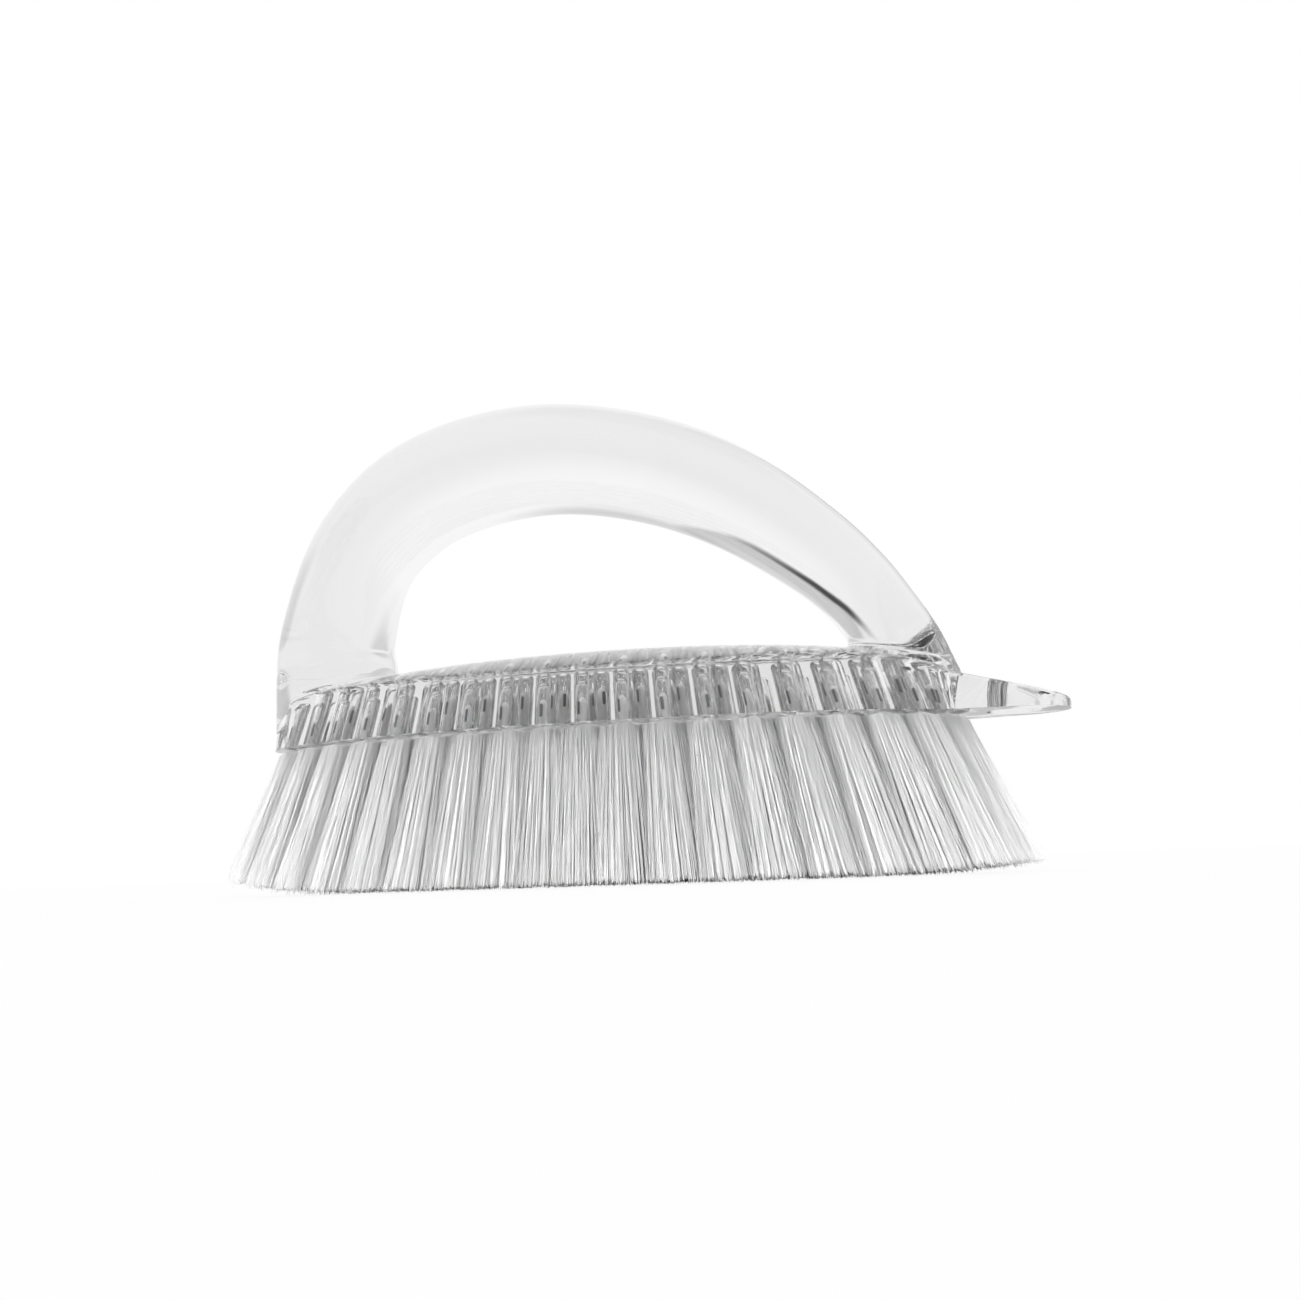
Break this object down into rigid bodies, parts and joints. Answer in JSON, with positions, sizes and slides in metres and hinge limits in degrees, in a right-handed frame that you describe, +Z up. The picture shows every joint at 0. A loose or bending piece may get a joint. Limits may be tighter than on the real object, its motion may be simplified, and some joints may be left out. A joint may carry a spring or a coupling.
{
  "type": "scrubbing brush",
  "caption": "Hand scrubbing brush: clear plastic oval block with an arched loop handle, a hanging tab with a hole, and leaning tufts of clear filament.",
  "frame": {"origin": "under the middle of the whole brush, on the plane that the bristle tips stand on", "axes": "+X from the rear of the block to the hanging tab, +Y across the block, +Z up out of the bristles to the handle"},
  "size_m": [0.1595, 0.0656, 0.0915],
  "materials": {
    "clear_plastic": "clear, polished, water-white, with softly rounded edges",
    "filament": "fine translucent filament, satin, trimmed level at the tips",
    "anchor_steel": "short flat steel anchor across each tuft's fold"
  },
  "bodies": {
    "root": {"brush_body": "clear_plastic", "outer_tufts_01": "filament", "outer_tufts_02": "filament", "outer_tufts_03": "filament", "outer_tufts_04": "filament", "outer_tufts_05": "filament", "outer_tufts_06": "filament", "outer_tufts_07": "filament", "outer_tufts_08": "filament", "outer_tufts_09": "filament", "outer_tufts_10": "filament", "inner_tufts_01": "filament", "inner_tufts_02": "filament", "inner_tufts_03": "filament", "inner_tufts_04": "filament", "inner_tufts_05": "filament", "inner_tufts_06": "filament", "inner_tufts_07": "filament", "inner_tufts_08": "filament", "inner_tufts_09": "filament", "left_tufts_01": "filament", "left_tufts_02": "filament", "centre_tufts_01": "filament", "centre_tufts_02": "filament", "centre_tufts_03": "filament", "centre_tufts_04": "filament", "right_tufts_01": "filament", "right_tufts_02": "filament"}
  },
  "joints": []
}
